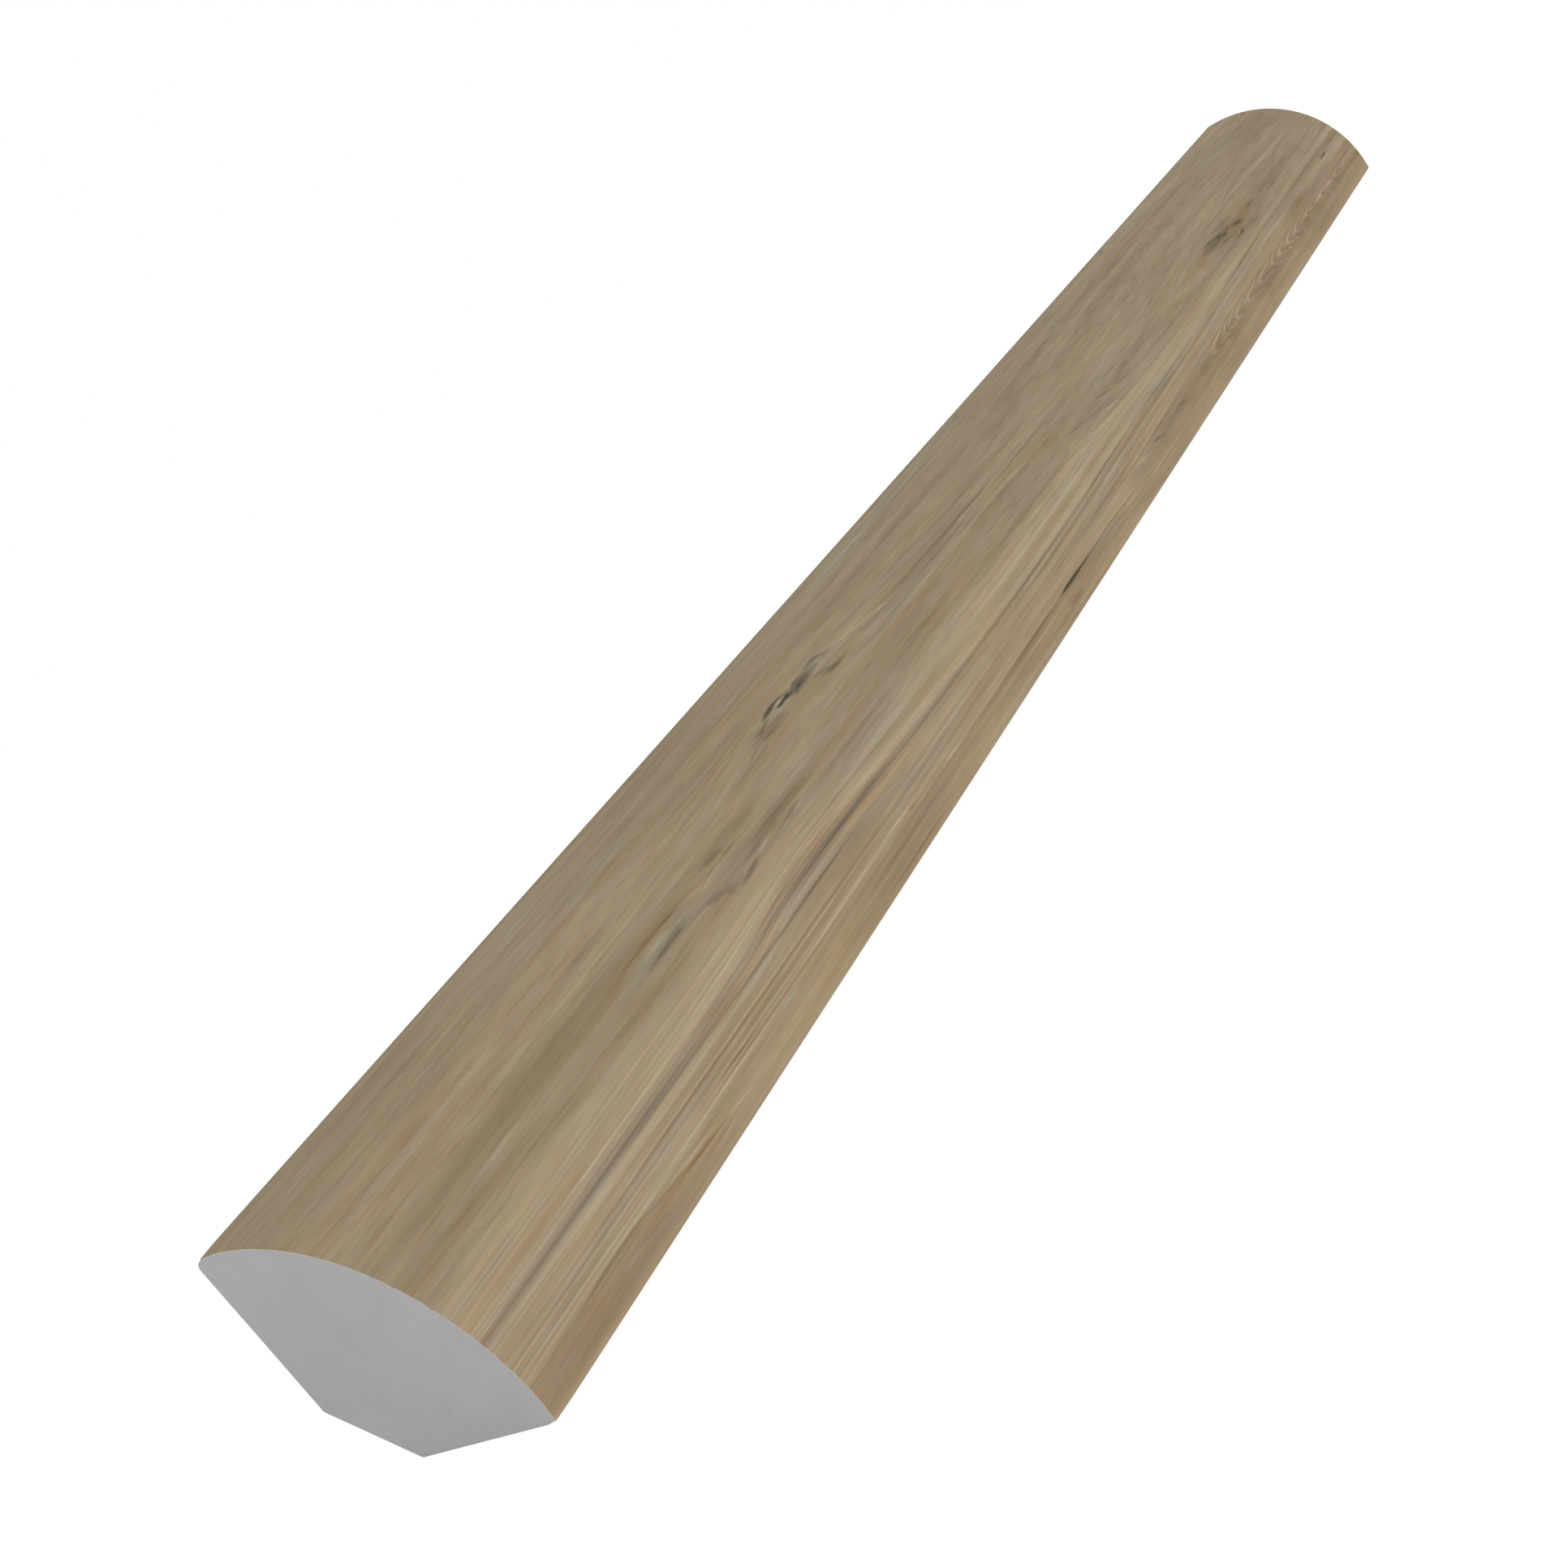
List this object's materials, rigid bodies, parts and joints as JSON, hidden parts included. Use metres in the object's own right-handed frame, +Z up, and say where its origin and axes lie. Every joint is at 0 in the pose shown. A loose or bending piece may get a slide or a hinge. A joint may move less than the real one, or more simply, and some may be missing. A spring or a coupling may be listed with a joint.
{
  "type": "quarter round moulding",
  "caption": "Short length of quarter round floor trim: a grey foamed plastic core with a wood grain film over its curved face and a bevelled back corner.",
  "frame": {"origin": "on the floor, under the middle of the moulding's bounding box", "axes": "+X along the moulding, +Y towards the wall that the upright back stands against, +Z up from the floor that the other back lies on"},
  "size_m": [0.2666, 0.019, 0.0191],
  "materials": {
    "core": "grey foamed plastic, extruded skin on the backs and a sawn grain on the ends",
    "wood_film": "satin printed film with a greyed oak grain"
  },
  "bodies": {
    "root": {"core": "core", "wood_film": "wood_film"}
  },
  "joints": []
}
